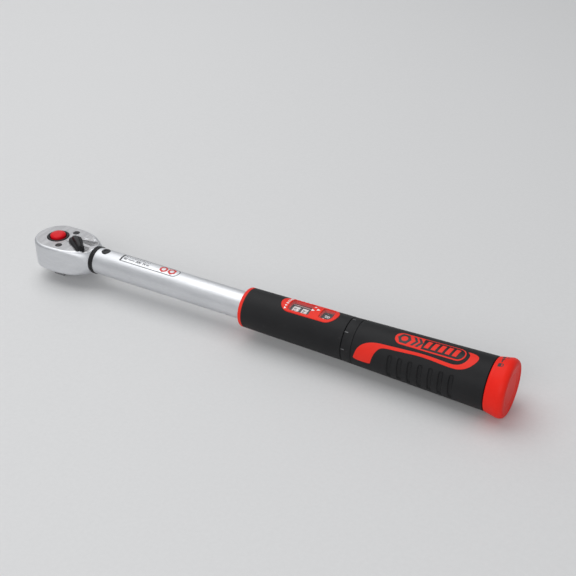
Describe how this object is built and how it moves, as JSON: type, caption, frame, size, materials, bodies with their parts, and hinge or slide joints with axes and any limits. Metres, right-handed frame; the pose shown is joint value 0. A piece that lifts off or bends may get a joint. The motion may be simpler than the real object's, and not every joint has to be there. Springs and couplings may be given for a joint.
{
  "type": "torque wrench",
  "caption": "Click torque wrench with a square drive reversible ratchet head, steel tube, scale windows and a rotating grip with a lock cap.",
  "frame": {"origin": "centre of the square drive where it leaves the head's underside", "axes": "+X along the handle from the drive to the lock cap, +Z out of the head's button side, -Z along the square drive towards the socket"},
  "size_m": [0.5032, 0.0528, 0.0554],
  "materials": {
    "satin_steel": "satin chrome plate on forged and drawn steel",
    "brushed_plate": "brushed flat of the head",
    "bare_steel": "ground steel",
    "black_steel": "black oxide",
    "spring_steel": "oil tempered wire",
    "black_gloss": "black moulded plastic",
    "black_soft": "soft touch matt black",
    "black_core": "glass filled plastic",
    "bush_plastic": "low friction bearing plastic",
    "red_plastic": "red moulded plastic, fine grain",
    "red_cap": "red moulded plastic, satin gloss",
    "red_button": "deep red gloss button",
    "scale_white": "white scale with black figures",
    "label_film": "thin printed film",
    "clear_lens": "clear window"
  },
  "bodies": {
    "wrench_body": {"tube": "satin_steel", "neck_ring": "black_gloss", "pivot_pin": "black_steel", "tube_label": "label_film", "sleeve_ring": "red_plastic", "front_sleeve": "black_soft", "window_bezel": "red_plastic", "scale_lens": "clear_lens", "fine_lens": "clear_lens", "bearing_housing": "bare_steel", "rear_race": "bare_steel", "tube_plug": "bare_steel", "main_spring": "spring_steel"},
    "head": {"ratchet_head": "satin_steel", "cover_plate": "brushed_plate", "cover_screws": "black_steel"},
    "drive": {"drive_gear": "bare_steel", "button_ring": "black_gloss", "release_spring": "spring_steel"},
    "button": {"release_button": "red_button", "release_pin": "bare_steel"},
    "ball": {"drive_ball": "bare_steel"},
    "lever": {"reverse_lever": "black_gloss", "lever_stem": "bare_steel", "detent_ball": "bare_steel", "detent_spring": "spring_steel"},
    "pawl": {"pawl": "bare_steel"},
    "trip": {"trip_block": "bare_steel"},
    "plunger": {"plunger": "bare_steel"},
    "nut": {"adjusting_nut": "bare_steel", "scale_slider": "scale_white"},
    "ball_set": {"bearing_balls": "bare_steel"},
    "grip": {"spindle": "bare_steel", "front_race": "bare_steel", "fine_scale_drum": "scale_white", "grip_core": "black_core", "seam_collar": "black_soft", "grip_cover": "black_soft", "grip_inlay": "red_plastic", "grip_badge": "red_plastic", "front_bush": "bush_plastic", "rear_bush": "bush_plastic", "drive_hub": "bare_steel", "hub_pins": "black_steel", "cap_retainer": "spring_steel"},
    "lock": {"lock_ring": "bare_steel"},
    "cap": {"lock_cap": "red_cap"}
  },
  "joints": [
    {"name": "head_pivot", "type": "hinge", "parent": "wrench_body", "child": "head", "pos_m": [0.0605, 0, 0.014], "axis": [0, 0, 1], "range_deg": [-2, 2], "stiffness_Nm_per_rad": 20},
    {"name": "trip_tilt", "type": "hinge", "parent": "wrench_body", "child": "trip", "pos_m": [0.0995, 0, 0.014], "axis": [0, 0, 1], "range_deg": [-10, 10]},
    {"name": "plunger_slide", "type": "slide", "parent": "wrench_body", "child": "plunger", "axis": [1, 0, 0], "range_m": [0, 0.0012], "stiffness_N_per_m": 800, "deforming": ["main_spring"]},
    {"name": "drive_spin", "type": "hinge", "parent": "head", "child": "drive", "pos_m": [0, 0, 0], "axis": [0, 0, 1], "continuous": true},
    {"name": "button_press", "type": "slide", "parent": "drive", "child": "button", "axis": [0, 0, -1], "range_m": [0, 0.0025], "stiffness_N_per_m": 600, "deforming": ["release_spring"]},
    {"name": "ball_slide", "type": "slide", "parent": "drive", "child": "ball", "axis": [-1, 0, 0], "range_m": [0, 0.0009]},
    {"name": "lever_turn", "type": "hinge", "parent": "head", "child": "lever", "pos_m": [0.0225, 0, 0.028], "axis": [0, 0, 1], "range_deg": [0, 76]},
    {"name": "pawl_rock", "type": "hinge", "parent": "head", "child": "pawl", "pos_m": [0.0225, 0, 0.012], "axis": [0, 0, 1], "range_deg": [-8, 0]},
    {"name": "grip_turn", "type": "hinge", "parent": "wrench_body", "child": "grip", "pos_m": [0.4, 0, 0.014], "axis": [-1, 0, 0], "range_deg": [0, 2880]},
    {"name": "nut_slide", "type": "slide", "parent": "wrench_body", "child": "nut", "axis": [-1, 0, 0], "range_m": [0, 0.008], "deforming": ["main_spring"]},
    {"name": "ball_set_turn", "type": "hinge", "parent": "wrench_body", "child": "ball_set", "pos_m": [0.3069, 0, 0.014], "axis": [-1, 0, 0], "range_deg": [0, 1440]},
    {"name": "cap_turn", "type": "hinge", "parent": "grip", "child": "cap", "pos_m": [0.47, 0, 0.014], "axis": [-1, 0, 0], "range_deg": [0, 40]},
    {"name": "lock_slide", "type": "slide", "parent": "grip", "child": "lock", "axis": [-1, 0, 0], "range_m": [0, 0.003]}
  ],
  "couplings": [
    {"joint": "trip_tilt", "follows": "head_pivot", "ratio": -4.45},
    {"joint": "ball_slide", "follows": "button_press", "ratio": 0.36},
    {"joint": "pawl_rock", "follows": "lever_turn", "ratio": -0.10526},
    {"joint": "nut_slide", "follows": "grip_turn", "m_per_rad": 0.00015915},
    {"joint": "ball_set_turn", "follows": "grip_turn", "ratio": 0.5},
    {"joint": "lock_slide", "follows": "cap_turn", "m_per_rad": 0.0042971}
  ]
}
